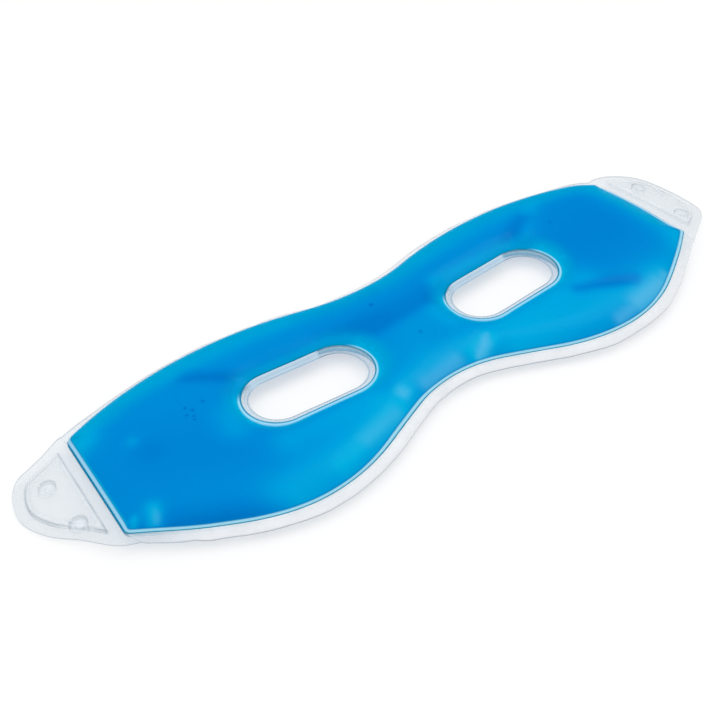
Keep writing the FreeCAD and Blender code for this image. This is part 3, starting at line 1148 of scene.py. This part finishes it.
def tab_marks(side, points, flex, within):
    """Grey lines along the pocket's weld and round the fused spots, with painted shade beside them,
    painted glints in the spots and a painted highlight along the weld.
    """
    spots = SPOTS[side]
    straight = flex < POCKET_OFFSET + STRAIGHT_REACH
    # Pocket weld line, with a second grey line of painted shade beside its curved part
    fold_and_shade = line_at(within, *POCKET_LINE) + line_at(within, *POCKET_SHADE) * ~straight
    fold_and_shade = fold_and_shade * (0.6 + waves(points, 0.4, 6.0, 2.0 * side)) * (within > -0.6)
    if side > 0:
        fold_and_shade = fold_and_shade * (1 - 0.6 * straight * eased((points[:, 1] + 2) / 4)) * 0.65
    rings = np.zeros(len(points))
    for spot in spots:
        x, y = (points - spot).T
        # Painted shade: each spot's ring is darker on its upper side
        shade = 0.35 + 0.65 * eased((y + 0.6 * side * x) / 2.5 + 0.5)
        rings += line_at(gap_to(spot, points), *SPOT_LINE) * shade
    # Painted glints in the spots and a painted highlight along the pocket's weld
    glint = np.min([gap_to([0.3 * side, -0.3], points - spot) for spot in spots], axis=0)
    painted_glare = 0.55 * eased((SPOT_RADIUS * 0.75 - glint) / 0.9)
    painted_glare += line_at(within, *POCKET_LIGHT) * np.where(straight, 1.0, 0.6)
    return {"fold_and_shade": fold_and_shade + 0.6 * rings, "painted_glare": painted_glare}


def build_tab(side, outer):
    """Clear end tab, worked out as if on the right: fused frame, slack pocket, two fused spots."""
    upper, out = end_line()
    loop = tab_outline(outer, side)
    details = pocket_details(loop, upper, out, SPOTS[side])
    region = Region(loop, [], [0.3], TAB_SPACING, details)
    points = region.points
    flex = (points - (upper + END_LOWER) / 2) @ out
    within = np.minimum(distance_to(loop, points) - POCKET_INSET, flex - POCKET_OFFSET)
    top, back = tab_heights(side, points, flex, within)
    marks = tab_marks(side, points, flex, within)
    root_lines = [(UPPER_ROOT[side], loop[np.argmin(gap_to(upper, loop))]),
                  (LOWER_ROOT[side], loop[np.argmin(gap_to(END_LOWER, loop))])]
    covered = walls_at(region, outer * [side, 1], root_lines)
    if side < 0:
        region.points = region.points * [-1, 1]
        region.faces = region.faces[:, ::-1]
        region.rims = region.rims[:, ::-1]
    name = SIDE_NAME[side]
    piece = slab(name + "_tab", region, top, back, WELDED, marks, covered)
    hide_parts(*[name + label for label in
                         ("_tab_weld", "_tab_front_film", "_tab_back_film", "_tab_spot_welds")])
    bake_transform(piece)
    return piece


# ---- studio

def build_floor():
    mesh = bpy.data.meshes.new("floor")
    reach = FLOOR_REACH
    corners = [(-reach, -reach, 0), (reach, -reach, 0), (reach, reach, 0), (-reach, reach, 0)]
    mesh.from_pydata(corners, [], [(0, 1, 2, 3)])
    floor = bpy.data.objects.new("floor", mesh)
    material, tree = tree_of("lit_table")
    shader = add(
        tree, "ShaderNodeBsdfPrincipled", Base_Color=(*FLOOR_TONE, 1), Roughness=0.9,
        Specular_IOR_Level=0.0, Emission_Color=(1, 1, 1, 1), Emission_Strength=FLOOR_GLOW)
    add(tree, "ShaderNodeOutputMaterial", Surface=shader.outputs[0])
    mesh.materials.append(material)
    bpy.context.collection.objects.link(floor)


def build_softbox(name, place, size, power, glossy):
    """A rectangular light that faces the middle of the scene."""
    light = bpy.data.lights.new(name, "AREA")
    light.shape = "RECTANGLE"
    light.size, light.size_y = size
    light.energy = power
    lamp = bpy.data.objects.new(name, light)
    lamp.location = place
    aim = Vector((0, 0, 0)) - Vector(place)
    lamp.rotation_euler = aim.to_track_quat("-Z", "Y").to_euler()
    lamp.visible_glossy = glossy
    bpy.context.collection.objects.link(lamp)


def build_studio():
    build_floor()
    for softbox in SOFTBOXES:
        build_softbox(*softbox)
    world = bpy.data.worlds.new("studio")
    world.use_nodes = True
    background = world.node_tree.nodes["Background"]
    background.inputs["Color"].default_value = (1, 1, 1, 1)
    background.inputs["Strength"].default_value = WORLD_LIGHT
    world.cycles_visibility.glossy = False
    bpy.context.scene.world = world
    bpy.context.scene.view_settings.view_transform = "Standard"


def build_camera():
    camera_data = bpy.data.cameras.new("camera")
    camera_data.lens = CAMERA_LENS
    camera_data.sensor_width = SENSOR
    camera = bpy.data.objects.new("camera", camera_data)
    camera.location = Vector(CAMERA_PLACE) * MM
    camera.rotation_euler = (
        math.radians(90 - CAMERA_DOWN_DEG), 0, math.radians(-CAMERA_HEADING_DEG))
    bpy.context.collection.objects.link(camera)
    bpy.context.scene.camera = camera


def bend_at_bridge(*pieces):
    for piece in pieces:
        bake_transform(piece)


def main():
    outer = weld_outline()
    eyes = [stadium(EYE_WELD, side) for side in (-1, 1)]
    gel = build_gel(outer, eyes)
    films = build_films(outer, eyes)
    flanges = build_flanges(outer)
    bend_at_bridge(gel, *films, *flanges)
    for side in (-1, 1):
        build_eye_weld(side)
        build_tab(side, outer)
    build_studio()
    build_camera()


main()
